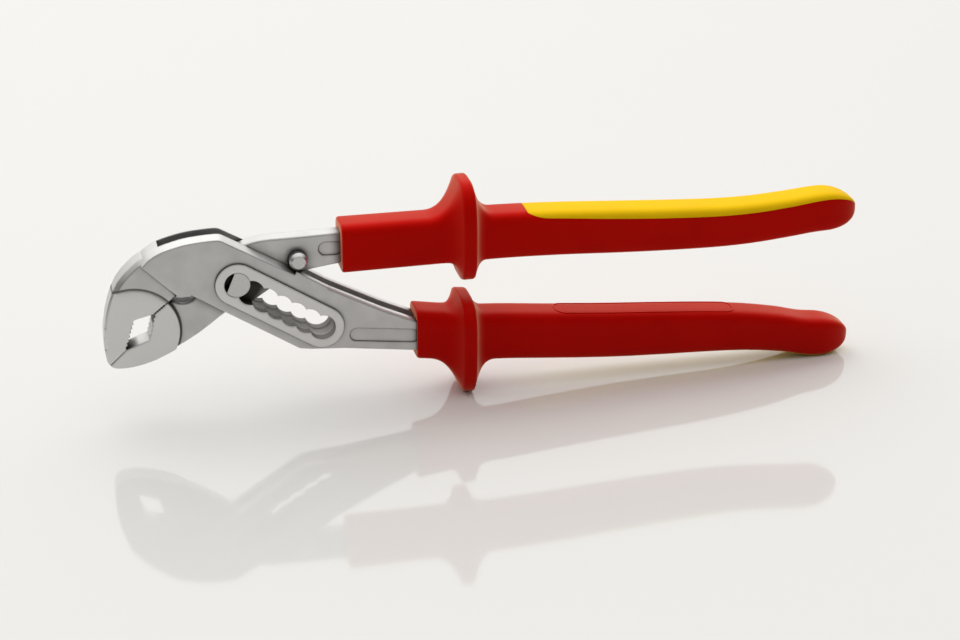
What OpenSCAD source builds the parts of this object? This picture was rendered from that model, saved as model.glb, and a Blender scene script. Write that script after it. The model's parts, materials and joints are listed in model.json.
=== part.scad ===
// Insulated tongue and groove pliers with a box joint and a row of pin seats.
// The tool stands on edge as when it is put down: the guard and the handle end of
// the lower lever touch the ground, and the jaws point to -X.
// X runs along the tool, Y through its thickness, Z is up.

/* [Joint pin and slot] */
// Diameter of the joint pin
pin_d = 8.2; // [7.4:0.1:8.8]
// Distance from the pin's axis to the flat on its ends
pin_flat = 2.2; // [1.4:0.1:3]
// Direction of the flat with the jaws closed
pin_flat_angle = 67; // [50:1:85]
// Number of seats along the slot
seat_count = 7; // [5:1:8]
// Distance from seat to seat
seat_pitch = 5.33; // [4.6:0.01:5.6]
// Slope of the slot at the first seat
slot_angle = 36.3; // [34:0.1:38]
// Radius of the flat arc on which the seats lie
slot_arc_r = 260; // [230:1:280]
// Room around the pin in a seat
seat_play = 0.06; // [0.03:0.01:0.1]
// Room around the pin in the slip lever
pin_play = 0.04; // [0.02:0.01:0.08]
// Radius of the raised land around the slot
land_r = 7; // [6:0.1:7.6]
// Height of the raised land over the cheek
land_rise = 0.7; // [0.3:0.1:1.2]

/* [Box lever] */
// Gap between the two cheeks
box_gap = 5.3; // [4.6:0.1:6]
// Thickness of one cheek
cheek_t = 2.7; // [2.2:0.1:3.2]
// Slant on the cheeks' upper edge
cheek_slant = 1.3; // [0.6:0.1:1.6]
// Chamfer on the other edges of the cheeks
cheek_edge = 0.5; // [0.2:0.1:0.8]
// Thickness of the forged neck between cheeks and jaw
neck_t = 8.8; // [8.2:0.1:9.8]
// Height of the bar where it enters the lower grip
box_bar_h = 10.6; // [9:0.1:11.6]
// Depth of the stamped panel in the bar
panel_depth = 0.4; // [0.2:0.05:0.6]
// Height of the stamped panel
panel_h = 4.7; // [3.6:0.1:5.4]

/* [Jaws] */
// Thickness across the ground jaw faces
jaw_t = 7.2; // [6.6:0.1:7.8]
// Radius of the ground jaw faces
jaw_r = 15; // [14:0.1:16]
// Chamfer along the back of the upper jaw
jaw_edge = 1.4; // [0.6:0.1:1.8]
// Depth of the teeth in the mouth
tooth_depth = 0.5; // [0.2:0.05:0.7]
// Pitch of the teeth in the mouth
tooth_pitch = 1.6; // [1.2:0.05:2]
// Depth of the fine teeth behind the mouth
fine_depth = 0.3; // [0.15:0.05:0.4]
// Pitch of the fine teeth behind the mouth
fine_pitch = 0.9; // [0.7:0.05:1.2]
// Gap between the closed jaws
jaw_gap = 0.16; // [0.1:0.02:0.3]

/* [Slip lever] */
// Thickness of the slip lever
plate_t = 5; // [4.2:0.1:5.2]
// Chamfer on the slip lever's edges
plate_edge = 0.5; // [0.2:0.1:0.7]
// Height of the bar where it enters the upper grip
slip_bar_h = 10.5; // [9:0.1:11.4]
// Diameter of the stop pin
stop_d = 6; // [5:0.1:6.4]
// Length of the stop pin
stop_len = 12; // [10.8:0.1:14]
// Chamfer on the stop pin's ends
stop_edge = 0.9; // [0.3:0.1:1.2]
// Room between the stop pin and the cheek edge at rest
stop_play = 0.12; // [0.05:0.01:0.3]

/* [Grips] */
// Distance from the joint pin to the guards, along the tool
guard_x = 74.5; // [70:0.5:82]
// Length from the guard to the handle's end
grip_len = 134.8; // [120:0.2:150]
// Length of the upper grip ahead of its guard
upper_collar = 40.7; // [36:0.1:43]
// Length of the lower grip ahead of its guard
lower_collar = 16.7; // [15:0.1:20]
// Width of a grip at its front
grip_w = 13.2; // [12.6:0.1:15]
// Width of a grip near its end
grip_end_w = 12.2; // [11:0.1:14]
// Height of the upper grip at its front
upper_grip_h = 16.4; // [15:0.1:18]
// Height of the lower grip at its front
lower_grip_h = 17.2; // [15:0.1:18]
// Height of a grip near its end
grip_end_h = 13.5; // [12:0.1:15]
// Length of the rounded handle end
grip_round = 12; // [8:0.5:16]
// Width of a guard
guard_w = 24; // [20:0.5:28]
// Reach of a guard on the outer side, from the grip's middle
guard_out = 19.5; // [17:0.1:21]
// Reach of a guard on the inner side, from the grip's middle
guard_in = 13.9; // [12:0.1:14.4]
// Thickness of a guard's rim
guard_rim = 4; // [3:0.1:5]
// Distance from the guard to the soft inlay
inlay_start = 20.4; // [16:0.2:30]
// Room between the inlay and its pocket
inlay_play = 0.05; // [0.02:0.01:0.1]
// Thickness of the tangs inside the grips
tang_t = 8.6; // [7:0.1:9]
// Distance from the tang's tip to the handle's end
tang_short = 18; // [14:0.5:40]
// Depth to which the bars enter the grips before they narrow to tangs
bar_seat = 3; // [2:0.5:6]
// Room around a tang in its grip
tang_play = 0.05; // [0.02:0.01:0.1]

/* [Hidden] */
$fn = 64;

STEEL = [0.72, 0.72, 0.71];
PIN = [0.80, 0.80, 0.79];
RED = [0.78, 0.10, 0.08];
YELLOW = [0.93, 0.78, 0.12];

cheek_out = box_gap / 2 + cheek_t;
land_out = cheek_out + land_rise;
pin_r = pin_d / 2;
stop_r = stop_d / 2;

// smooth curve through a few points
function between(a, b, c, d, t) = 0.5 * (2 * b + (c - a) * t
    + (2 * a - 5 * b + 4 * c - d) * t * t + (3 * b - a - 3 * c + d) * t * t * t);
function smooth(p, k = 4) = concat(
    [for (i = [0:len(p) - 2]) for (j = [0:k - 1])
        between(p[max(i - 1, 0)], p[i], p[i + 1], p[min(i + 2, len(p) - 1)], j / k)],
    [p[len(p) - 1]]);

// value of a smooth curve given as [place, value] pairs
function span_of(t, x, i = 0) = i >= len(t) - 2 || x < t[i + 1][0] ? i : span_of(t, x, i + 1);
function rise_at(t, i) = let (a = max(i - 1, 0), b = min(i + 1, len(t) - 1))
    (t[b][1] - t[a][1]) / (t[b][0] - t[a][0]);
function along(t, x) = let (i = span_of(t, x), h = t[i + 1][0] - t[i][0], u = (x - t[i][0]) / h)
    (2 * u * u * u - 3 * u * u + 1) * t[i][1] + (u * u * u - 2 * u * u + u) * h * rise_at(t, i)
    + (3 * u * u - 2 * u * u * u) * t[i + 1][1] + (u * u * u - u * u) * h * rise_at(t, i + 1);

function unit(v) = v / max(norm(v), 1e-9);
function left(v) = [-v[1], v[0]];
function backwards(o) = [for (i = [0:len(o) - 1]) o[len(o) - 1 - i]];

// outline that runs anticlockwise, grown by d
function corner(o, i) = let (n = len(o), a = unit(o[i] - o[(i + n - 1) % n]),
    b = unit(o[(i + 1) % n] - o[i]), m = unit(left(a) + left(b)))
    m / max(m * left(a), 0.5);
function grown(o, d) = [for (i = [0:len(o) - 1]) o[i] - d * corner(o, i)];

// points of a toothed edge from a up to b, with the notches to the left of it
function toothed(a, b, pitch, depth) = let (n = max(round(norm(b - a) / pitch), 2), s = left(unit(b - a)))
    [for (i = [0:2 * n - 1]) a + (b - a) * i / (2 * n) + (i % 2 == 1 ? depth : 0) * s];

module plate(o, half) rotate([90, 0, 0]) linear_extrude(2 * half, center = true) polygon(o);

// wedges that slant both sides of the outline's edges along a run of points: w off the face,
// running out d below it; each overlaps the next and stands clear of the solid that it cuts
module slanted(run, half, w, d) {
    clear = 0.4;
    lap = 0.5;
    reach = 3;
    wedge = [[w * clear / d, half - d - clear], [-w - w * clear / d, half + clear],
        [reach, half + clear], [reach, half - d - clear]];
    for (i = [0:len(run) - 2]) let (u = unit(run[i + 1] - run[i]), p = run[i] - lap * u)
        for (side = [0, 1]) mirror([0, side, 0])
            multmatrix([[u[1], 0, u[0], p[0]], [0, 1, 0, 0], [-u[0], 0, u[1], p[1]]])
                linear_extrude(norm(run[i + 1] - p) + lap) polygon(wedge);
}

module across(r, half) rotate([90, 0, 0]) cylinder(r = r, h = 2 * half, center = true);

// outline with round ends about the line from p to q
function oblong(p, q, r, k = 24) = let (a = atan2(q[1] - p[1], q[0] - p[0]))
    [for (end = [0, 1]) for (i = [0:k]) (end == 0 ? p : q)
        + r * [cos(a + 90 + 180 * end + 180 * i / k), sin(a + 90 + 180 * end + 180 * i / k)]];

// oblong panel pressed into both side faces
module panel(p, q, h, half, depth) for (side = [-1, 1])
    translate([0, side * half, 0]) plate(oblong(p, q, h / 2), depth);

// seats on a flat arc; the pin's axis in the first seat is the origin
seat_turn = seat_pitch / slot_arc_r * 180 / PI;
arc_mid = slot_arc_r * [sin(slot_angle), cos(slot_angle)];
function seat(i) = let (a = -90 - slot_angle + i * seat_turn)
    arc_mid + slot_arc_r * [cos(a), sin(a)];
last_seat = seat(seat_count - 1);
slot_dir = unit(last_seat);
slot_up = left(slot_dir);
// point at a distance along the slot and one across it
function by_slot(u, v) = u * slot_dir + v * slot_up;

// parting line of the jaws and corners of the mouth
jaw_tip = [-41.2, -24.8];
mouth_front = [-35.8, -19.9];
mouth_top = [-32.6, -9.8];
mouth_back = [-26.4, -8.4];
mouth_low = [-28.8, -17.4];
throat = [-22.9, -5.6];
jaw_mid = [-33.6, -14.5];

// middle of each grip, from guard_x along the tool
upper_mid = [[-upper_collar, 8.4], [0, 8.3], [14, 8.2], [32, 7.5], [50, 6.4], [68, 5.4],
    [86, 4.7], [98, 4.8], [110, 5.6], [122, 6.6], [grip_len, 6.2]];
lower_mid = [[-lower_collar, -23.8], [0, -26.3], [14, -27.4], [32, -29.2], [50, -30.8],
    [68, -32], [86, -33.2], [98, -34.4], [110, -36.4], [120, -38.8], [grip_len, -39.9]];

// stop pin on the cheeks' edge; the edge stays just under the pin's way from seat to seat
stop_u = 13.6;
stop_v = 15.6;
stop_at = by_slot(stop_u, stop_v);
rest_v = stop_v - stop_r - stop_play;

// reach of the slip lever and the box lever's bars at the grips
slip_in = [guard_x - upper_collar, along(upper_mid, -upper_collar)];
box_in = [guard_x - lower_collar, along(lower_mid, -lower_collar)];
slip_end = [slip_in[0] + bar_seat, along(upper_mid, bar_seat - upper_collar)];
box_end = [box_in[0] + bar_seat, along(lower_mid, bar_seat - lower_collar)];
slit_end = box_end[0] + 4;

// outline of a tang along a grip's middle, tapering to its tip
tang_tip_h = 7;
tang_step = 0.8;
tang_lap = 2;
function tang_h(h, s, front) = h + (tang_tip_h - h) * max(0, s - front)
    / (grip_len - tang_short - front);
tang_parts = 8;
function tang_edge(mid, front, h, side) = [for (k = [0:tang_parts])
    let (s = front + (grip_len - tang_short - front) * k / tang_parts)
    [guard_x + s, along(mid, s) + side * tang_h(h, s, front) / 2]];
function tang(mid, front, h) = concat(tang_edge(mid, front, h, -1), backwards(tang_edge(mid, front, h, 1)));

upper_tang = tang(upper_mid, bar_seat - upper_collar - tang_lap, slip_bar_h - tang_step);
lower_tang = tang(lower_mid, bar_seat - lower_collar - tang_lap, box_bar_h - tang_step);

// upper jaw and neck
half_gap = jaw_gap / 2 * left(unit(mouth_front - jaw_tip));
jaw_back = smooth([[-27, 10.6], [-29.4, 10.7], [-33.4, 7.7], [-37.4, 3.2], [-40.4, -3.6], [-42.2, -11.5],
    [-42.6, -18.9], jaw_tip + [-0.9, 1.6], jaw_tip + half_gap], 2);
upper_mouth = concat(toothed(mouth_front + half_gap, mouth_top, tooth_pitch, tooth_depth), [mouth_top],
    toothed(mouth_back + half_gap, throat + half_gap, fine_pitch, fine_depth), [throat + half_gap]);
upper_jaw = concat(jaw_back, upper_mouth, [[-19.6, -2.2], [-14, -1], [-14, 12]]);

// cheeks: crest, edge down to the stop pin, bar, lower edge along the slot, step to the neck
crest = concat([[-31.2, 8.3]], smooth([[-28.4, 11.5], [-24.2, 13.9], [-17, 15.9], [-10.6, 16.6],
    [-5.4, 16.7], [-3.6, 16.1]], 3));
crest_line = [by_slot(stop_u + 0.6, rest_v), by_slot(stop_u + 3.6, rest_v - 0.08)];
bar_top = [by_slot(27, rest_v - 0.06), by_slot(46, rest_v + 1.55), box_in + [0, box_bar_h / 2],
    box_end + [0, box_bar_h / 2]];
bar_low = [box_end - [0, box_bar_h / 2], box_in - [0, box_bar_h / 2], [34, -25.9], [23, -25.1],
    by_slot(29.5, -10.1)];
low_edge = [by_slot(-10.5, -10.1), [-20.4, -2.6]];
cheek = concat(backwards(low_edge), backwards(bar_low), backwards(bar_top), backwards(crest_line),
    backwards(crest));
module cheeks() difference() {
    plate(cheek, cheek_out);
    slanted(concat([crest_line[0]], backwards(crest), [low_edge[1]]), cheek_out, cheek_slant, cheek_t);
    slanted(backwards(bar_top), cheek_out, cheek_edge, cheek_edge);
    slanted(concat([low_edge[0]], backwards(bar_low)), cheek_out, cheek_edge, cheek_edge);
}

// gap between the cheeks, closed by the jaw block and, inside the grip, by the tang
module box_slit() {
    far = 60;
    plate([[-24, far], [-24, 13], [-19, -1.6], [-19, -far], [slit_end, -far], [slit_end, far]],
        box_gap / 2);
}

module slot_seats(half) for (i = [0:seat_count - 1])
    translate([seat(i)[0], 0, seat(i)[1]]) across(pin_r + seat_play, half);

land_parts = 40;
module slot_land() plate(oblong([0, 0], last_seat, land_r, land_parts), land_out);

// length of plain edge left at the tip of each jaw
upper_tip_plain = 4;
lower_tip_plain = 3;
function off_tip(line, plain) = [for (p = line) if (norm(p - jaw_tip) > plain) p];

// round faces ground into both sides of the upper jaw
module jaw_ground() for (side = [-1, 1])
    translate([jaw_mid[0], side * (jaw_t + neck_t) / 2, jaw_mid[1]]) across(jaw_r, neck_t / 2);

module box_lever() color(STEEL) difference() {
    union() {
        difference() {
            plate(upper_jaw, neck_t / 2);
            slanted(off_tip(jaw_back, upper_tip_plain), neck_t / 2, jaw_edge, jaw_edge);
        }
        cheeks();
        slot_land();
        plate(lower_tang, tang_t / 2);
    }
    jaw_ground();
    box_slit();
    slot_seats(land_out + 1);
    translate([stop_at[0], 0, stop_at[1]]) across(stop_r + stop_play, stop_len);
    panel([38, -21.3], box_in + [-panel_h / 2 + 1, 0.2], panel_h, cheek_out, panel_depth);
}

// slip lever: jaw, arm through the box, round around the pin, bar and tang
jaw_under = smooth([jaw_tip + [0.3, -0.5], [-38.8, -26.1], [-33.5, -26], [-26.5, -24.2],
    [-18.9, -20.6], [-12.3, -16.8], [-5.7, -12], [-3.1, -10.2]], 2);
arm_low = smooth([[-3.1, -10.2], [2.6, -8.6], [8.6, -5], [15.6, -0.6], [24, 1.9],
    slip_in - [0, slip_bar_h / 2]]);
arm_top = smooth([slip_in + [0, slip_bar_h / 2], [21, 13.4], [9, 13.3], [2.8, 12], [-3.4, 9.4],
    [-9, 4.6], [-11, -0.6], [-13.8, -4.9], [-17.2, -5.9], [-20.6, -4.9], throat - half_gap]);
lower_mouth = concat(toothed(throat - half_gap, mouth_back - half_gap, fine_pitch, fine_depth),
    toothed(mouth_back - half_gap, mouth_low, tooth_pitch, tooth_depth),
    [mouth_low, mouth_front - half_gap, jaw_tip - half_gap]);
slip_bar = [slip_end - [0, slip_bar_h / 2], slip_end + [0, slip_bar_h / 2]];
slip_outline = concat(jaw_under, [for (i = [1:len(arm_low) - 1]) arm_low[i]], slip_bar,
    [for (i = [0:len(arm_top) - 2]) arm_top[i]], lower_mouth);

// round faces that rise on both sides of the lower jaw
face_root = 0.6;
module jaw_rise() for (side = [-1, 1]) {
    low = plate_t / 2 - face_root;
    intersection() {
        translate([0, side * (jaw_t / 2 + low) / 2, 0]) plate(slip_outline, (jaw_t / 2 - low) / 2);
        translate([jaw_mid[0], 0, jaw_mid[1]]) across(jaw_r, jaw_t);
    }
}

module slip_lever() color(STEEL) difference() {
    union() {
        difference() {
            plate(slip_outline, plate_t / 2);
            slanted(off_tip(jaw_under, lower_tip_plain), plate_t / 2, plate_edge, plate_edge);
            slanted(concat([arm_low[len(arm_low) - 1]], slip_bar), plate_t / 2, plate_edge, plate_edge);
            slanted(arm_top, plate_t / 2, plate_edge, plate_edge);
        }
        jaw_rise();
        plate(upper_tang, tang_t / 2);
    }
    across(pin_r + pin_play, plate_t);
    translate([stop_at[0], 0, stop_at[1]]) across(stop_r, plate_t);
    panel([29, 8.4], slip_in + [-panel_h / 2 + 1, -0.1], panel_h, plate_t / 2, panel_depth);
}

// pin: round in the slip lever, with a flat on each end that clears the slot's points
pin_sunk = 0.05;
module joint_pin() color(PIN) difference() {
    across(pin_r, land_out - pin_sunk);
    for (side = [-1, 1]) rotate([0, -pin_flat_angle - 90, 0])
        translate([pin_flat, side > 0 ? box_gap / 2 : -land_out - 1, -pin_d])
            cube([pin_d, land_out + 1 - box_gap / 2, 2 * pin_d]);
}

module stop_pin() color(PIN) translate([stop_at[0], 0, stop_at[1]])
    rotate([90, 0, 0]) rotate_extrude()
        polygon([[0, -stop_len / 2], [stop_r - stop_edge, -stop_len / 2], [stop_r, stop_edge - stop_len / 2],
            [stop_r, stop_len / 2 - stop_edge], [stop_r - stop_edge, stop_len / 2], [0, stop_len / 2]]);

// a guard's flare: 0 on the grip, 1 on the rim; its run is [length ahead of it, length behind it]
rim_round = 0.8;
rim_share = 0.05;
flare_bend = 2.6;
function flare(s, run) = let (d = abs(s) - guard_rim / 2, length = s < 0 ? run[0] : run[1])
    d <= -rim_round ? 1 : d <= 0 ? 1 - rim_share * pow(1 + d / rim_round, 2) : d >= length ? 0
    : (1 - rim_share) * pow(1 - d / length, flare_bend);
// rounding of the handle's end and of the grip's front edge
front_round = 0.8;
front_share = 0.07;
end_share = 0.985;
function closing(s, front) = let (e = (s - grip_len + grip_round) / grip_round)
    s < front + front_round
    ? 1 - front_share + front_share * sqrt(max(0, 1 - pow(1 - (s - front) / front_round, 2)))
    : e <= 0 ? 1 : sqrt(max(0, 1 - e * e * end_share));
function grip_half_h(s, front, h) = along([[front, h / 2], [14, h / 2 - 0.3], [60, h / 2 - 0.6],
    [110, grip_end_h / 2 + 0.1], [grip_len, grip_end_h / 2]], s);
function grip_half_w(s, front) = along([[front, grip_w / 2], [60, grip_w / 2 - 0.1],
    [grip_len, grip_end_w / 2]], s);
outer_run = [11, 8];
inner_run = [4, 5];
side_run = [7, 5];
function out_h(s, front, h) = let (b = grip_half_h(s, front, h))
    closing(s, front) * (b + (guard_out - b) * flare(s, outer_run));
function in_h(s, front, h) = let (b = grip_half_h(s, front, h))
    closing(s, front) * (b + (guard_in - b) * flare(s, inner_run));
function out_w(s, front) = let (b = grip_half_w(s, front))
    closing(s, front) * (b + (guard_w / 2 - b) * flare(s, side_run));

// height of an inlay's border as a share of the grip's outer half, at its front, halfway along and at
// the handle's end; it rises over the lip at its front
inlay_lip = 6.5;
upper_border = [0.8, 0.63, 0.8];
lower_border = [0.95, 0.935, 0.875];
lip_share = 0.97;
function border(s, side) = let (
    b = side > 0 ? upper_border : lower_border,
    t = (s - inlay_start) / (grip_len - inlay_start),
    f = b[0] * (1 - t) * (1 - 2 * t) + b[1] * 4 * t * (1 - t) + b[2] * t * (2 * t - 1),
    u = max(0, 1 - (s - inlay_start) / inlay_lip))
    f + (lip_share - f) * u * u;

// section of a grip: a squared oval, rounder on the guard, whose outer side is cut flat where the inlay lies
grip_bend = 0.4;
guard_bend = 0.62;
full_share = 0.998;
function corner_bend(s) = grip_bend + (guard_bend - grip_bend) * flare(s, side_run);
function bulge(v, bend) = sign(v) * pow(abs(v), bend);
function oval(s, front, h, mid, side, a) = let (
    bend = corner_bend(s),
    half_h = sin(a) > 0 ? out_h(s, front, h) : in_h(s, front, h))
    [guard_x + s, out_w(s, front) * bulge(cos(a), bend), along(mid, s) + side * half_h * bulge(sin(a), bend)];
function cut_angle(f, bend) = asin(pow(f, 1 / bend));
RING = 34;
function grip_ring(s, front, h, mid, side) = let (
    f = s < inlay_start ? full_share : border(s, side) - inlay_play / out_h(s, front, h),
    c = cut_angle(f, corner_bend(s)))
    [for (k = [0:RING - 1]) let (i = side > 0 ? k : RING - 1 - k)
        oval(s, front, h, mid, side, c - i / (RING - 1) * (180 + 2 * c))];
CAP = 13;
function inlay_ring(s, front, h, mid, side) = let (c = cut_angle(border(s, side), corner_bend(s)))
    [for (k = [0:CAP - 1]) let (i = side > 0 ? CAP - 1 - k : k)
        oval(s, front, h, mid, side, c + i / (CAP - 1) * (180 - 2 * c))];

// solid through rings of equal length at rising values of x
module sweep(rings) {
    n = len(rings[0]);
    m = len(rings);
    polyhedron(
        points = [for (r = rings) each r],
        faces = concat([[for (i = [0:n - 1]) n - 1 - i]],
            [for (k = [0:m - 2]) for (i = [0:n - 1]) let (j = (i + 1) % n, a = k * n, b = a + n)
                each [[a + i, a + j, b + j], [a + i, b + j, b + i]]],
            [[for (i = [0:n - 1]) (m - 1) * n + i]]));
}

// stations along a grip, closer where it bends
tail_start = inlay_start + inlay_lip;
tail_end = grip_len - grip_round;
grip_tail = concat([inlay_start + 1.5, inlay_start + 3.5, tail_start],
    [for (k = [1:11]) tail_start + (tail_end - tail_start) * k / 11],
    [for (e = [0.3, 0.55, 0.75, 0.88, 0.96, 1]) tail_end + grip_round * e]);
rim_half = guard_rim / 2;
guard_run = concat([for (k = [0:6]) -rim_half - outer_run[0] * pow(1 - k / 7, 1.4)],
    [for (end = [-1, 1]) for (d = end < 0 ? [0, 0.35, rim_round] : [rim_round, 0.35, 0])
        end * (rim_half - d)],
    [for (k = [1:6]) rim_half + outer_run[1] * pow(k / 6, 1.4)]);
function grip_stations(front) = let (edge = front + front_round, collar = -rim_half - outer_run[0] - edge)
    concat([front, front + 0.25, edge],
    collar > 8 ? [for (k = [1:4]) edge + collar * k / 5] : [],
    [for (s = guard_run) if (s > edge + 0.2) s], [inlay_start - 4, inlay_start - 0.2, inlay_start],
    grip_tail);

module grip(front, h, mid, side) difference() {
    sweep([for (s = grip_stations(front)) grip_ring(s, front, h, mid, side)]);
    children();
}

// room for a tang, and for the bar ahead of it: their outlines with the play around them
module tang_room(o) plate(grown(o, tang_play), tang_t / 2 + tang_play);

module bar_room(front, end, h, half) {
    up = [0, h / 2 + tang_play];
    u = (end - front) / bar_seat;
    a = front - u;
    b = end + tang_play * u;
    plate([a - up, b - up, b + up, a + up], half + tang_play);
}

module lower_sleeve() color(RED) grip(-lower_collar, lower_grip_h, lower_mid, -1) {
    tang_room(lower_tang);
    bar_room(box_in, box_end, box_bar_h, cheek_out);
}

module upper_sleeve() color(RED) grip(-upper_collar, upper_grip_h, upper_mid, 1) {
    tang_room(upper_tang);
    bar_room(slip_in, slip_end, slip_bar_h, plate_t / 2);
}

module inlay(front, h, mid, side)
    sweep([for (s = concat([inlay_start], grip_tail)) inlay_ring(s, front, h, mid, side)]);

module lower_inlay() color(YELLOW) inlay(-lower_collar, lower_grip_h, lower_mid, -1);
module upper_inlay() color(YELLOW) inlay(-upper_collar, upper_grip_h, upper_mid, 1);

// the pin's place over the ground, with the tool's length centred on the origin
pin_x = -(guard_x + grip_len + min([for (p = jaw_back) p[0]])) / 2;
pin_z = -min([for (s = grip_stations(-lower_collar))
    for (p = concat(grip_ring(s, -lower_collar, lower_grip_h, lower_mid, -1),
        s < inlay_start ? [] : inlay_ring(s, -lower_collar, lower_grip_h, lower_mid, -1))) p[2]]);
module placed() translate([pin_x, 0, pin_z]) children();

placed() box_lever();
placed() slip_lever();
placed() joint_pin();
placed() stop_pin();
placed() lower_sleeve();
placed() upper_sleeve();
placed() lower_inlay();
placed() upper_inlay();
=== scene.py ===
"""Looks of a pair of insulated tongue and groove pliers that stand on edge on a glossy pale floor."""

import json
import math

import bpy
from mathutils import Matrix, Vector


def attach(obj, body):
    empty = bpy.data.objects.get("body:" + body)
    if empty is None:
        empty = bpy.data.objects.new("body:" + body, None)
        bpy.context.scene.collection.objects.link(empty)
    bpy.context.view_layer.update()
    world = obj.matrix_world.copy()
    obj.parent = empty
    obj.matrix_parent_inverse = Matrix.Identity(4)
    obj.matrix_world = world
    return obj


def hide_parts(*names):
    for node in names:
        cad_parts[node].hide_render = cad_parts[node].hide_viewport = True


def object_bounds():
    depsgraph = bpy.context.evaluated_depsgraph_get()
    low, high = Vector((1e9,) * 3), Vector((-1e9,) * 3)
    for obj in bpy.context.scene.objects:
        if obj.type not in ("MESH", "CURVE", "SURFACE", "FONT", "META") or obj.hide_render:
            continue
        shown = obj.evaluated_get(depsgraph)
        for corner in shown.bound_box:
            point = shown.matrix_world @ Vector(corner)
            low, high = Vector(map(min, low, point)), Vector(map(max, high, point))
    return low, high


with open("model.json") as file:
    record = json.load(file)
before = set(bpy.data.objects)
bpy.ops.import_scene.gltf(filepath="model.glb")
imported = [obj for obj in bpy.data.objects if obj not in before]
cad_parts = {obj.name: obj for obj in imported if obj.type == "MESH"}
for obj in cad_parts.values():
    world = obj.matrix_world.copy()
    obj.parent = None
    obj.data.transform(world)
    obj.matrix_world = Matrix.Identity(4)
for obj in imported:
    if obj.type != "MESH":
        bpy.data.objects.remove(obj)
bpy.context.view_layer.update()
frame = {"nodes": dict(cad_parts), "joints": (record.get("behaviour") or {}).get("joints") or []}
nodes = frame["nodes"]

MM = 0.001
PIN = Vector(next(j["pos_m"] for j in frame["joints"] if j["name"] == "opening"))

# Camera at the photograph's viewing angle: places in metres, lens and sensor in millimetres
CAMERA_EYE = (-0.15855, -0.6672, 0.3282)
CAMERA_AIM = (-0.00325, 0.0, 0.02317)
CAMERA_LENS = 85.3
CAMERA_SENSOR = 36.0
CAMERA_CLIP = (0.01, 50.0)

# Surround: bright above and behind the tool, dim in front of it
SKY_SLOPE = (0.0, 0.45, 0.85)
SKY_RANGE = (0.0, 0.95)
SKY_LEVELS = (0.03, 1.8)
SKY_COLOUR = (1.0, 0.99, 0.97, 1.0)

# Floor and lamp: sizes and places in metres, power in watts
FLOOR_HALF = 6.0
FLOOR_COLOUR = (0.68, 0.675, 0.66, 1.0)
FLOOR_ROUGH = 0.06
FLOOR_GLOSS = 0.5
LAMP_PLACE = (-0.35, 0.35, 1.2)
LAMP_AIM = (0.0, 0.0, 0.03)
LAMP_SIZE = (0.9, 0.7)
LAMP_POWER = 2.0

# Grips: sizes in millimetres, with places along a grip counted from its guard, and shares without a unit by
# which the handle's end and the grip's front edge are drawn in
GUARD_X = 74.5
GRIP_LEN = 134.8
UPPER_COLLAR = 40.7
LOWER_COLLAR = 16.7
GRIP_W = 13.2
GRIP_END_W = 12.2
GRIP_END_H = 13.5
GRIP_ROUND = 12.0
END_SHARE = 0.985
FRONT_ROUND = 0.8
FRONT_SHARE = 0.07
MOUTH_DEPTH = 3.0

# Taper of a grip, in millimetres: three places along it, what its half height has lost at the first two,
# what is left to lose at the third, and what its half width has lost at the second
TAPER_PLACES = (14.0, 60.0, 110.0)
HEIGHT_LOSS = (0.3, 0.6)
HEIGHT_LEFT = 0.1
WIDTH_LOSS = 0.1

# Guards: sizes in millimetres, where a run is the flare's length ahead of the rim and behind it, the share
# by which the rim's edges are drawn in, and the bend of the flare
GUARD_W = 24.0
GUARD_OUT = 19.5
GUARD_IN = 13.9
GUARD_RIM = 4.0
RIM_ROUND = 0.8
RIM_SHARE = 0.05
FLARE_BEND = 2.6
OUTER_RUN = (11.0, 8.0)
INNER_RUN = (4.0, 5.0)
SIDE_RUN = (7.0, 5.0)

# Roundness of the section: the lower, the squarer
GRIP_BEND = 0.4
GUARD_BEND = 0.62

# Inlays: start, lip and play in millimetres, and heights as shares of the grip's outer half
INLAY_START = 20.4
INLAY_LIP = 6.5
INLAY_PLAY = 0.05
LIP_SHARE = 0.97
FULL_SHARE = 0.998

# Each grip: the body it rides, the way its outer side faces, its front edge, its height there, half the
# width and height of its mouth, its inlay's border at the front, halfway and at the end, and its middle line
UPPER = {
    "name": "upper",
    "body": "slip",
    "side": 1,
    "front": -UPPER_COLLAR,
    "height": 16.4,
    "bar": (2.55, 5.3),
    "border": (0.8, 0.63, 0.8),
    "mid": [(-UPPER_COLLAR, 8.4), (0, 8.3), (14, 8.2), (32, 7.5), (50, 6.4), (68, 5.4), (86, 4.7),
            (98, 4.8), (110, 5.6), (122, 6.6), (GRIP_LEN, 6.2)],
}
LOWER = {
    "name": "lower",
    "body": "box",
    "side": -1,
    "front": -LOWER_COLLAR,
    "height": 17.2,
    "bar": (5.4, 5.35),
    "border": (0.95, 0.935, 0.875),
    "mid": [(-LOWER_COLLAR, -23.8), (0, -26.3), (14, -27.4), (32, -29.2), (50, -30.8), (68, -32.0),
            (86, -33.2), (98, -34.4), (110, -36.4), (120, -38.8), (GRIP_LEN, -39.9)],
}

# Fineness of the grips: points around a section, steps along a grip in millimetres, turns in degrees, and
# how far the fine steps go on ahead of a flare and behind it
RING = 96
CAP_RING = 40
GRIP_STEP = 2.0
FLARE_STEP = 0.35
RIM_STEP = 0.16
LIP_STEP = 0.5
SEAT_STEP = 0.2
FLARE_MARGIN = (1.0, 0.2)
FRONT_TURN = 15
END_TURN = 5

# Raised oblong line on the inner side of the lower grip, in millimetres, with its flatness and its fineness
LABEL_START = 30.9
LABEL_END = 92.9
LABEL_HALF_W = 4.0
LABEL_CORNER = 3.0
LABEL_LINE_R = 0.32
LABEL_FLAT = 0.75
LABEL_STEP = 1.5
LABEL_TURNS = 12
LABEL_SIDES = 10

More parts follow.
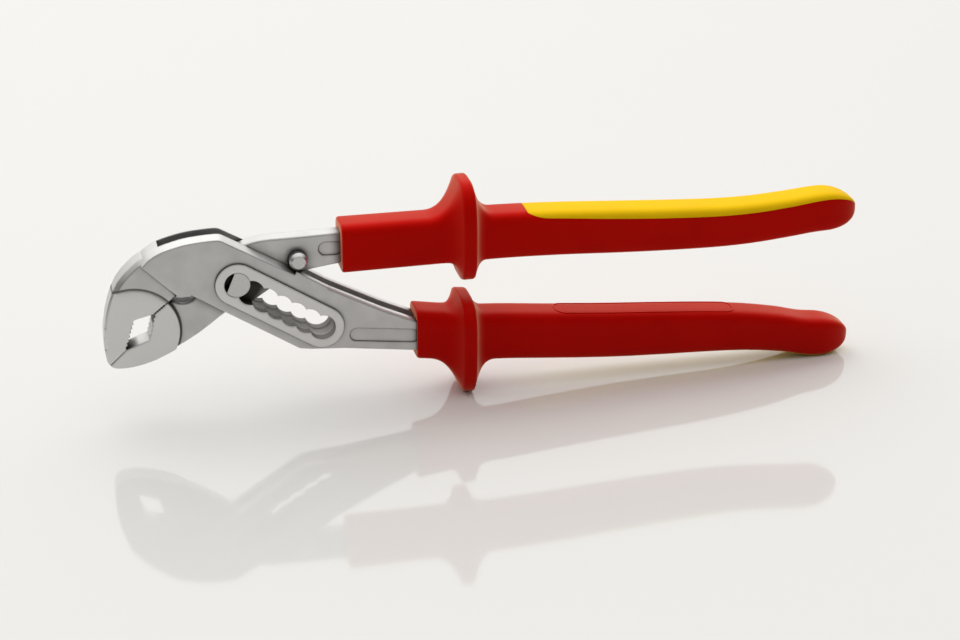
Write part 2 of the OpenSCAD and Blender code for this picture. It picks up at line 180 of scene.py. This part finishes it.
# Ground faces, in millimetres: the round ones on the jaws about a place counted from the joint pin, and the
# raised border around the slot. Both begin at a depth from the middle plane that lies just under them
JAW_MID = (-33.6, -14.5)
JAW_R = 15.0
JAW_EDGE = 0.05
JAW_DEPTH = 3.3
LAND_DEPTH = 5.8

# Painted shadow, with some grime, along the shoulder around the jaws' round faces: its width in millimetres,
# the shares of it between which it fades, and how much bare steel is left in its middle
SHOULDER_W = 0.9
SHOULDER_FADE = (0.25, 0.6)
SHOULDER_BARE = 0.25

# Painted shade on the walls of the slot: the last seat's place from the joint pin and the walls' reach about
# the slot's line, in millimetres, the shares of its length between which the painted shade thins, and its
# strength
SLOT_END = (26.87, -17.30)
SLOT_REACH = 7.0
SLOT_RUN = (0.3, 1.2)
SLOT_SHADE = (0.97, 0.72)

# Painted shade on the walls of the hollow behind the jaws, and on the slip lever's face around the joint
# pin: its strength, full within the first radius and gone at the second, with places in millimetres.
# FACE_DEPTH from the middle plane takes in that face but not the cheeks' outer faces
DISH_MID = (-17.2, -2.6)
DISH_R = (3.6, 5.2)
DISH_SHADE = 0.85
FACE_SHADE_R = (8.0, 11.0)
FACE_SHADE = 0.95
FACE_DEPTH = 2.7

# A wall is a face whose normal has less than this share across the tool
WALL_FACING = 0.6

# Steel: darkest and lightest tone, least and most rough, depth of the grain in millimetres and its strength
SATIN = (0.57, 0.64)
GROUND = (0.735, 0.755)
TURNED = (0.60, 0.65)
SATIN_ROUGH = (0.30, 0.42)
TURNED_ROUGH = (0.27, 0.33)
SATIN_BUMP = (0.008, 0.5)
TURNED_BUMP = (0.004, 0.3)
STEEL_WARMTH = 0.02
# Painted shade, with some grime on the jaws' shoulders: the dark brown that takes the place of bare steel in
# corners, slots and hollows, and the gloss of that non-metal layer
SHADE_AND_GRIME = (0.035, 0.028, 0.02, 1.0)
SHADE_AND_GRIME_GLOSS = 0.15
# Painted shade on the pins: the colour their corners darken to
PIN_SHADE = (0.05, 0.04625, 0.0425, 1.0)

# On a ground face: the share of the pits that is left, and what is added to the roughness
GROUND_PITS = 0.15
GROUND_ROUGH = 0.03

# Rolled edges of the steel, and how near a face has to be to another for painted shade to fall on it, in
# millimetres
LEVER_EDGE = 0.7
PIN_EDGE = 0.3
LEVER_NEAR = 4.0
PIN_NEAR = 3.0

# Fineness of the patterns, in waves per metre, and how much finer the ground lines are on each axis
SATIN_CLOUD = 160
SATIN_PITS = 2600
GROUND_LINES = 700
LINE_STRETCH = (1.0, 1.0, 9.0)
TURNED_GRAIN = 1800
PLASTIC_CLOUD = 45

# Plastics: colours, least and most rough, sheen and its tint, and fineness of the grain
RED = {
    "name": "red_grip",
    "dark": (0.52, 0.0015, 0.0002, 1),
    "light": (0.58, 0.002, 0.0003, 1),
    "rough": (0.32, 0.40),
    "sheen": 0.90,
    "tint": (1.0, 0.62, 0.38, 1),
    "grain": 2400,
}
YELLOW = {
    "name": "yellow_inlay",
    "dark": (0.84, 0.51, 0.003, 1),
    "light": (0.90, 0.56, 0.005, 1),
    "rough": (0.41, 0.49),
    "sheen": 0.05,
    "tint": (1.0, 0.8, 0.4, 1),
    "grain": 3200,
}
PLASTIC_BUMP = (0.02, 0.6)
PLASTIC_GLOSS = 0.02
SHEEN_ROUGH = 0.35

# Middle range of a noise pattern, and the range of openness over which painted shade gives way to unshaded
# steel
NOISE_SPAN = (0.3, 0.7)
SHADE_SPAN = (0.42, 0.92)

# Angles in degrees past which faces meet in a sharp edge, and the distance in millimetres that joins corners
GRIP_SHARP = 38
STEEL_SHARP = 24
JOIN_GAP = 0.001


def along(table, x):
    """Value at x of the smooth curve through (place, value) pairs."""
    i = 0
    while i < len(table) - 2 and x >= table[i + 1][0]:
        i += 1

    def slope(k):
        a, b = table[max(k - 1, 0)], table[min(k + 1, len(table) - 1)]
        return (b[1] - a[1]) / (b[0] - a[0])

    h = table[i + 1][0] - table[i][0]
    u = (x - table[i][0]) / h
    return ((2 * u**3 - 3 * u**2 + 1) * table[i][1] + (u**3 - 2 * u**2 + u) * h * slope(i)
            + (3 * u**2 - 2 * u**3) * table[i + 1][1] + (u**3 - u**2) * h * slope(i + 1))


def flare(s, run):
    """A guard's swell: 0 on the grip and 1 on the rim."""
    d = abs(s) - GUARD_RIM / 2
    length = run[0] if s < 0 else run[1]
    if d <= -RIM_ROUND:
        return 1.0
    if d <= 0:
        return 1 - RIM_SHARE * (1 + d / RIM_ROUND) ** 2
    return 0.0 if d >= length else (1 - RIM_SHARE) * (1 - d / length) ** FLARE_BEND


def closing(s, grip):
    """Rounding of the grip's front edge and of the handle's end."""
    front = s - grip["front"]
    if front < FRONT_ROUND:
        return 1 - FRONT_SHARE + FRONT_SHARE * math.sqrt(max(0.0, 1 - (1 - front / FRONT_ROUND) ** 2))
    e = (s - GRIP_LEN + GRIP_ROUND) / GRIP_ROUND
    return 1.0 if e <= 0 else math.sqrt(max(0.0, 1 - END_SHARE * e * e))


def half_sizes(s, grip):
    """Outer half height, inner half height and half width of a grip."""
    h = grip["height"] / 2
    first, second, third = TAPER_PLACES
    b = along([(grip["front"], h), (first, h - HEIGHT_LOSS[0]), (second, h - HEIGHT_LOSS[1]),
               (third, GRIP_END_H / 2 + HEIGHT_LEFT), (GRIP_LEN, GRIP_END_H / 2)], s)
    w = along([(grip["front"], GRIP_W / 2), (second, GRIP_W / 2 - WIDTH_LOSS),
               (GRIP_LEN, GRIP_END_W / 2)], s)
    k = closing(s, grip)
    return (k * (b + (GUARD_OUT - b) * flare(s, OUTER_RUN)),
            k * (b + (GUARD_IN - b) * flare(s, INNER_RUN)),
            k * (w + (GUARD_W / 2 - w) * flare(s, SIDE_RUN)))


def corner_bend(s):
    """Roundness of a grip's section: squared on the grip, rounder on the guard."""
    return GRIP_BEND + (GUARD_BEND - GRIP_BEND) * flare(s, SIDE_RUN)


def bulge(v, bend):
    """Sine or cosine of an angle, bent outwards so that an oval becomes squared."""
    return math.copysign(abs(v) ** bend, v)


def in_frame(s, y, z):
    """Point in metres: s along a grip, y from the middle plane and z over the pin, all in millimetres."""
    return Vector((PIN.x + (GUARD_X + s) * MM, y * MM, PIN.z + z * MM))


def on_grip(s, angle, grip):
    """Point of a grip's section. 90 degrees is the outer side."""
    outer, inner, wide = half_sizes(s, grip)
    reach = outer if math.sin(angle) > 0 else inner
    bend = corner_bend(s)
    z = along(grip["mid"], s) + grip["side"] * reach * bulge(math.sin(angle), bend)
    return in_frame(s, wide * bulge(math.cos(angle), bend), z)


def on_inner_side(s, y, grip):
    """Point on the inner side of a grip at a distance from its middle plane."""
    _, inner, wide = half_sizes(s, grip)
    bend = corner_bend(s)
    share = max(0.0, 1 - abs(y / wide) ** (2 / bend)) ** (bend / 2)
    return in_frame(s, y, along(grip["mid"], s) - grip["side"] * inner * share)


def border(s, grip):
    """Height of the inlay's border as a share of the grip's outer half."""
    front, half, end = grip["border"]
    t = (s - INLAY_START) / (GRIP_LEN - INLAY_START)
    f = front * (1 - t) * (1 - 2 * t) + half * 4 * t * (1 - t) + end * t * (2 * t - 1)
    u = max(0.0, 1 - (s - INLAY_START) / INLAY_LIP)
    return f + (LIP_SHARE - f) * u * u


def cut_angle(f, bend):
    """Angle at which a section reaches a share of its outer half height."""
    return math.asin(min(1.0, f) ** (1 / bend))


def spaced(a, b, step):
    """Even steps from a up to, but not including, b."""
    n = max(1, round((b - a) / step))
    return [a + (b - a) * i / n for i in range(n)]


def head_stations(grip):
    """Places along a grip from its front edge over its guard to just ahead of the inlay."""
    edge = grip["front"] + FRONT_ROUND
    rim = GUARD_RIM / 2
    ahead = -rim - OUTER_RUN[0] - FLARE_MARGIN[0]
    behind = rim + OUTER_RUN[1] + FLARE_MARGIN[1]
    seat = INLAY_START - SEAT_STEP
    rounding = [math.cos(math.radians(a)) for a in range(0, 90, FRONT_TURN)]
    return ([edge - FRONT_ROUND * r for r in rounding] + spaced(edge, ahead, GRIP_STEP)
            + spaced(ahead, -rim, FLARE_STEP) + spaced(-rim, rim, RIM_STEP) + spaced(rim, behind, FLARE_STEP)
            + spaced(behind, seat, GRIP_STEP) + [seat])


def tail_stations():
    """Places along a grip from the start of its inlay to the handle's end."""
    lip = INLAY_START + INLAY_LIP
    end = GRIP_LEN - GRIP_ROUND
    rounding = [math.sin(math.radians(a)) for a in range(0, 91, END_TURN)]
    return (spaced(INLAY_START, lip, LIP_STEP) + spaced(lip, end, GRIP_STEP)
            + [end + GRIP_ROUND * r for r in rounding])


def mesh_object(name, points, faces, material, body, slot, *replaced):
    """A smooth piece that rides a body and may stand in for CAD nodes."""
    mesh = bpy.data.meshes.new(name)
    mesh.from_pydata(points, [], faces)
    mesh.validate()
    piece = bpy.data.objects.new(name, mesh)
    bpy.context.scene.collection.objects.link(piece)
    mesh.materials.append(material)
    mesh.shade_smooth()
    mesh.set_sharp_from_angle(angle=math.radians(GRIP_SHARP))
    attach(piece, body)
    if replaced:
        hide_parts(*replaced)


def skin(rings, flip):
    """Points and faces of a solid through rings of equal length, closed at the first and the last."""
    n = len(rings[0])
    last = (len(rings) - 1) * n
    faces = []
    for k in range(0, last, n):
        for i in range(n):
            j = (i + 1) % n
            faces.append([k + i, k + j, k + n + j, k + n + i])
    faces.append(list(range(n))[::-1])
    faces.append(list(range(last, last + n)))
    if flip:
        faces = [face[::-1] for face in faces]
    return [p for ring in rings for p in ring], faces


def mouth_rings(ring, grip):
    """Bottom and edge of the mouth in which the bar sits, inside a grip's first ring."""
    half_w, half_h = grip["bar"]
    nothing = 1e-9
    centre = Vector((ring[0].x, 0, PIN.z + along(grip["mid"], grip["front"]) * MM))
    edge = []
    for p in ring:
        d = p - centre
        reach = min(half_w * MM / max(abs(d.y), nothing), half_h * MM / max(abs(d.z), nothing))
        edge.append(centre + d * reach)
    sunk = Vector((MOUTH_DEPTH * MM, 0, 0))
    return [[p + sunk for p in edge], edge]


def sleeve(grip, material):
    """Red grip: outer skin, seat of the inlay, and a mouth in which the bar sits."""
    rings = []
    for s in head_stations(grip) + tail_stations():
        f = FULL_SHARE if s < INLAY_START else border(s, grip) - INLAY_PLAY / half_sizes(s, grip)[0]
        c = cut_angle(f, corner_bend(s))
        rings.append([on_grip(s, c - i / (RING - 1) * (math.pi + 2 * c), grip) for i in range(RING)])
    points, faces = skin(mouth_rings(rings[0], grip) + rings, grip["side"] < 0)
    name = grip["name"] + "_grip"
    mesh_object(name, points, faces, material, grip["body"], "grip_red", grip["name"] + "_sleeve")


def inlay(grip, material):
    """Yellow soft inlay on the grip's outer side."""
    rings = []
    for s in tail_stations():
        c = cut_angle(border(s, grip), corner_bend(s))
        rings.append([on_grip(s, math.pi - c - i / (CAP_RING - 1) * (math.pi - 2 * c), grip)
                      for i in range(CAP_RING)])
    points, faces = skin(rings, grip["side"] < 0)
    name = grip["name"] + "_soft_inlay"
    mesh_object(name, points, faces, material, grip["body"], "grip_yellow", grip["name"] + "_inlay")


def oblong():
    """Closed path of the label's line: places along the grip and distances from its middle plane."""
    r = LABEL_CORNER
    start, end = LABEL_START + r, LABEL_END - r
    side = LABEL_HALF_W - r
    corners = []
    for s, y, first in ((end, side, 0), (start, side, 90), (start, -side, 180), (end, -side, 270)):
        for k in range(LABEL_TURNS + 1):
            a = math.radians(first + 90 * k / LABEL_TURNS)
            corners.append((s + r * math.cos(a), y + r * math.sin(a)))
    path = []
    for i, (s, y) in enumerate(corners):
        s2, y2 = corners[(i + 1) % len(corners)]
        n = max(1, round(math.hypot(s2 - s, y2 - y) / LABEL_STEP))
        path += [(s + (s2 - s) * k / n, y + (y2 - y) * k / n) for k in range(n)]
    return path


def label_line(grip, material):
    """Raised oblong line that frames a bare field on the lower grip's inner side."""
    path = oblong()
    count = len(path)
    around = LABEL_SIDES
    up = Vector((0, 0, 1))
    points, faces = [], []
    for i, (s, y) in enumerate(path):
        p = on_inner_side(s, y, grip)
        ahead = on_inner_side(*path[(i + 1) % count], grip) - on_inner_side(*path[i - 1], grip)
        side = ahead.cross(up).normalized()
        for k in range(around):
            a = 2 * math.pi * k / around
            points.append(p + LABEL_LINE_R * MM * (math.cos(a) * side + LABEL_FLAT * math.sin(a) * up))
    for i in range(count):
        a, b = i * around, (i + 1) % count * around
        for k in range(around):
            j = (k + 1) % around
            faces.append([a + k, a + j, b + j, b + k])
    mesh_object("lower_label_frame", points, faces, material, grip["body"], "grip_red")


class Shader:
    """Short forms for building a node material."""

    def __init__(self, name):
        self.material = bpy.data.materials.new(name)
        self.material.use_nodes = True
        self.tree = self.material.node_tree

    def node(self, kind, **settings):
        made = self.tree.nodes.new(kind)
        for key, value in settings.items():
            setattr(made, key, value)
        return made

    def put(self, socket, value):
        """Links an input to another node's output, or gives it a value."""
        if isinstance(value, bpy.types.NodeSocket):
            self.tree.links.new(value, socket)
        else:
            socket.default_value = value

    def fill(self, node, values):
        """Puts values into a node's inputs by their names."""
        for key, value in values.items():
            self.put(node.inputs[key], value)

    def surface(self, values):
        """Fills the inputs of the material's surface and gives the finished material."""
        self.fill(self.tree.nodes["Principled BSDF"], values)
        return self.material

    def math(self, operation, *values):
        made = self.node("ShaderNodeMath", operation=operation)
        for socket, value in zip(made.inputs, values):
            self.put(socket, value)
        return made.outputs[0]

    def times(self, first, *others):
        """Product of two or more values."""
        for other in others:
            first = self.math("MULTIPLY", first, other)
        return first

    def place(self):
        """Coordinates that move with the piece."""
        return self.node("ShaderNodeTexCoord").outputs["Object"]

    def axes(self, vector):
        made = self.node("ShaderNodeSeparateXYZ")
        self.put(made.inputs[0], vector)
        return made.outputs

    def noise(self, vector, scale, detail=2.0, rough=0.5):
        made = self.node("ShaderNodeTexNoise")
        self.fill(made, {"Vector": vector, "Scale": scale, "Detail": detail, "Roughness": rough})
        return made.outputs["Fac"]

    def span(self, value, low, high, out_low=0.0, out_high=1.0):
        """Value carried over from one range to another, and held at its ends."""
        made = self.node("ShaderNodeMapRange")
        for socket, v in zip(made.inputs, (value, low, high, out_low, out_high)):
            self.put(socket, v)
        return made.outputs["Result"]

    def mix(self, fac, a, b):
        """Colour between a and b. Inputs 6 and 7 and output 2 are the node's colour sockets."""
        made = self.node("ShaderNodeMix", data_type="RGBA")
        self.put(made.inputs["Factor"], fac)
        self.put(made.inputs[6], a)
        self.put(made.inputs[7], b)
        return made.outputs[2]

    def bump(self, height, depth, strength):
        """Bump node for a pattern of a depth in millimetres."""
        made = self.node("ShaderNodeBump")
        self.fill(made, {"Strength": strength, "Distance": depth * MM, "Height": height})
        return made

    def distance(self, x, z, place):
        """Distance in metres from the line along y through a place in millimetres from the joint pin."""
        dx = self.math("SUBTRACT", x, PIN.x + place[0] * MM)
        dz = self.math("SUBTRACT", z, PIN.z + place[1] * MM)
        return self.math("SQRT", self.math("ADD", self.times(dx, dx), self.times(dz, dz)))

    def openness(self, near):
        """1 on open faces, falling towards 0 in slots and corners."""
        made = self.node("ShaderNodeAmbientOcclusion", samples=8)
        self.fill(made, {"Distance": near * MM})
        return made.outputs["AO"]

    def rolled(self, bump, radius):
        """Normal of a bump on a face whose edges are rounded by a radius in millimetres."""
        made = self.node("ShaderNodeBevel", samples=6)
        self.fill(made, {"Radius": radius * MM})
        self.fill(bump, {"Normal": made.outputs["Normal"]})
        return bump.outputs["Normal"]


def grey(v):
    """Slightly warm grey of steel."""
    return (v, v * (1 - STEEL_WARMTH / 2), v * (1 - STEEL_WARMTH), 1.0)


def steel_tone(m, pattern, tones):
    """Grey that wavers between two tones."""
    return m.mix(m.span(pattern, *NOISE_SPAN), grey(tones[0]), grey(tones[1]))


def slot_shade(m, x, z, wall):
    """Painted shade on the walls of the slot, thinner towards its last seat."""
    length = math.hypot(*SLOT_END)
    ux, uz = SLOT_END[0] / length, SLOT_END[1] / length
    dx = m.math("SUBTRACT", x, PIN.x)
    dz = m.math("SUBTRACT", z, PIN.z)
    run = m.math("ADD", m.times(dx, ux), m.times(dz, uz))
    off = m.math("ABSOLUTE", m.math("SUBTRACT", m.times(dx, uz), m.times(dz, ux)))
    beside = m.math("LESS_THAN", off, SLOT_REACH * MM)
    behind = m.math("GREATER_THAN", run, -SLOT_REACH * MM)
    thick = m.span(run, SLOT_RUN[0] * length * MM, SLOT_RUN[1] * length * MM, *SLOT_SHADE)
    return m.times(beside, wall, behind, thick)


def round_shade(m, x, z, place, radii, level):
    """Painted shade about a place: full within the first radius and gone at the second."""
    return m.span(m.distance(x, z, place), radii[0] * MM, radii[1] * MM, level, 0.0)


def shade_free(m, x, z, depth):
    """Near 0 where shade is painted on the walls of the slot and the hollow and on the slip lever's face
    around the joint pin, 1 elsewhere.
    """
    normal = m.axes(m.node("ShaderNodeNewGeometry").outputs["Normal"])
    wall = m.math("LESS_THAN", m.math("ABSOLUTE", normal[1]), WALL_FACING)
    slot = slot_shade(m, x, z, wall)
    dish = m.times(round_shade(m, x, z, DISH_MID, DISH_R, DISH_SHADE), wall)
    face = m.times(m.math("LESS_THAN", depth, FACE_DEPTH * MM),
                   round_shade(m, x, z, (0, 0), FACE_SHADE_R, FACE_SHADE))
    return m.math("SUBTRACT", 1.0, m.math("MAXIMUM", m.math("MAXIMUM", slot, dish), face))


def ground_face(m, r, depth):
    """1 on the ground faces of the jaws and of the border around the slot, 0 elsewhere."""
    on_jaw = m.times(m.math("LESS_THAN", r, (JAW_R + JAW_EDGE) * MM),
                     m.math("GREATER_THAN", depth, JAW_DEPTH * MM))
    return m.math("MAXIMUM", on_jaw, m.math("GREATER_THAN", depth, LAND_DEPTH * MM))


def ground_lines(m, place):
    """Fine lines that grinding leaves along the tool."""
    stretch = m.node("ShaderNodeMapping")
    m.fill(stretch, {"Vector": place, "Scale": LINE_STRETCH})
    return m.noise(stretch.outputs[0], GROUND_LINES, detail=3.0, rough=0.6)


def shoulder_shadow_and_grime(m, r):
    """Low on the painted shadow and grime along the shoulder around the jaws' round faces, 1 elsewhere."""
    off = m.math("ABSOLUTE", m.math("SUBTRACT", r, (JAW_R + SHOULDER_W / 2) * MM))
    start, end = SHOULDER_FADE
    return m.span(off, start * SHOULDER_W * MM, end * SHOULDER_W * MM, SHOULDER_BARE, 1.0)


def steel_material():
    """Satin forged steel with ground faces, with painted shade in its corners, slot and hollows, and painted
    shadow with some grime along the jaws' shoulders.
    """
    m = Shader("satin_steel")
    place = m.place()
    x, y, z = m.axes(place)
    depth = m.math("ABSOLUTE", y)
    r = m.distance(x, z, JAW_MID)
    ground = ground_face(m, r, depth)
    satin = steel_tone(m, m.noise(place, SATIN_CLOUD, detail=3.0), SATIN)
    polished = steel_tone(m, ground_lines(m, place), GROUND)
    # Painted shade: ambient occlusion, the shoulder line and the recesses turn the steel's colour into a
    # dark brown non-metal
    unshaded = m.times(m.span(m.openness(LEVER_NEAR), *SHADE_SPAN), shoulder_shadow_and_grime(m, r),
                    shade_free(m, x, z, depth))
    pits = m.times(m.noise(place, SATIN_PITS), m.span(ground, 0.0, 1.0, 1.0, GROUND_PITS))
    return m.surface({
        "Base Color": m.mix(unshaded, SHADE_AND_GRIME, m.mix(ground, satin, polished)),
        "Metallic": unshaded,
        "Roughness": m.math("ADD", m.span(pits, *NOISE_SPAN, *SATIN_ROUGH), m.times(ground, GROUND_ROUGH)),
        "Specular IOR Level": SHADE_AND_GRIME_GLOSS,
        "Normal": m.rolled(m.bump(pits, *SATIN_BUMP), LEVER_EDGE),
    })


def pin_material():
    """Bright turned steel of the pins, with painted shade in their corners."""
    m = Shader("pin_steel")
    fine = m.noise(m.place(), TURNED_GRAIN)
    # Painted shade: ambient occlusion darkens the pins' colour in their corners
    unshaded = m.span(m.openness(PIN_NEAR), *SHADE_SPAN)
    return m.surface({
        "Base Color": m.mix(unshaded, PIN_SHADE, steel_tone(m, fine, TURNED)),
        "Metallic": 1.0,
        "Roughness": m.span(fine, *NOISE_SPAN, *TURNED_ROUGH),
        "Normal": m.rolled(m.bump(fine, *TURNED_BUMP), PIN_EDGE),
    })


def plastic_material(look):
    """Moulded plastic with a fine spark-eroded grain and faint unevenness of colour and gloss."""
    m = Shader(look["name"])
    place = m.place()
    cloud = m.noise(place, PLASTIC_CLOUD, detail=3.0)
    grain = m.noise(place, look["grain"], rough=0.6)
    return m.surface({
        "Base Color": m.mix(m.span(cloud, *NOISE_SPAN), look["dark"], look["light"]),
        "Roughness": m.span(cloud, *NOISE_SPAN, *look["rough"]),
        "Specular IOR Level": PLASTIC_GLOSS,
        "Sheen Weight": look["sheen"],
        "Sheen Roughness": SHEEN_ROUGH,
        "Sheen Tint": look["tint"],
        "Normal": m.bump(grain, *PLASTIC_BUMP).outputs["Normal"],
    })


def floor_material():
    """Pale glossy floor."""
    return Shader("pale_floor").surface({
        "Base Color": FLOOR_COLOUR,
        "Roughness": FLOOR_ROUGH,
        "Specular IOR Level": FLOOR_GLOSS,
    })


def show_node(name, material):
    """A CAD node keeps its shape and gets its finish."""
    node = nodes[name]
    node.data.materials.clear()
    node.data.materials.append(material)
    node.data.shade_smooth()
    node.modifiers.new("join_faces", "WELD").merge_threshold = JOIN_GAP * MM
    node.modifiers.new("keep_edges", "EDGE_SPLIT").split_angle = math.radians(STEEL_SHARP)


def aimed(name, data, place, aim):
    """A camera or lamp that looks from a place to its aim."""
    made = bpy.data.objects.new(name, data)
    made.location = place
    made.rotation_euler = (Vector(aim) - Vector(place)).to_track_quat("-Z", "Y").to_euler()
    bpy.context.scene.collection.objects.link(made)
    return made


def set_camera():
    """Camera that sees the tool as the photograph does."""
    camera = bpy.data.cameras.new("camera")
    camera.lens = CAMERA_LENS
    camera.sensor_width = CAMERA_SENSOR
    camera.clip_start, camera.clip_end = CAMERA_CLIP
    bpy.context.scene.camera = aimed("camera", camera, CAMERA_EYE, CAMERA_AIM)


def set_floor():
    """Floor under the tool's lowest point."""
    half = FLOOR_HALF
    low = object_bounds()[0][2]
    mesh = bpy.data.meshes.new("floor")
    corners = [(-half, -half, low), (half, -half, low), (half, half, low), (-half, half, low)]
    mesh.from_pydata(corners, [], [(0, 1, 2, 3)])
    floor = bpy.data.objects.new("floor", mesh)
    mesh.materials.append(floor_material())
    bpy.context.scene.collection.objects.link(floor)


def set_lamp():
    """Soft lamp that isn't seen in reflections."""
    light = bpy.data.lights.new("key", "AREA")
    light.shape = "RECTANGLE"
    light.size, light.size_y = LAMP_SIZE
    light.energy = LAMP_POWER
    aimed("key", light, LAMP_PLACE, LAMP_AIM).visible_glossy = False


def set_surround():
    """Pale surround that brightens upwards and towards the back."""
    world = bpy.data.worlds.new("surround")
    world.use_nodes = True
    tree = world.node_tree
    place = tree.nodes.new("ShaderNodeTexCoord").outputs["Generated"]
    slope = tree.nodes.new("ShaderNodeVectorMath")
    slope.operation = "DOT_PRODUCT"
    slope.inputs[1].default_value = SKY_SLOPE
    tree.links.new(place, slope.inputs[0])
    level = tree.nodes.new("ShaderNodeMapRange")
    for socket, value in zip(list(level.inputs)[1:5], (*SKY_RANGE, *SKY_LEVELS)):
        socket.default_value = value
    tree.links.new(slope.outputs["Value"], level.inputs[0])
    back = tree.nodes["Background"]
    back.inputs["Color"].default_value = SKY_COLOUR
    tree.links.new(level.outputs[0], back.inputs["Strength"])
    bpy.context.scene.world = world


def main():
    """The whole scene: camera, finishes, levers and pins, grips, and the stage."""
    bpy.context.scene.view_settings.view_transform = "Standard"
    set_camera()
    steel = steel_material()
    pins = pin_material()
    red = plastic_material(RED)
    yellow = plastic_material(YELLOW)
    show_node("box_lever", steel)
    show_node("slip_lever", steel)
    show_node("joint_pin", pins)
    show_node("stop_pin", pins)
    for grip in (UPPER, LOWER):
        sleeve(grip, red)
        inlay(grip, yellow)
    label_line(LOWER, red)
    set_floor()
    set_lamp()
    set_surround()


main()
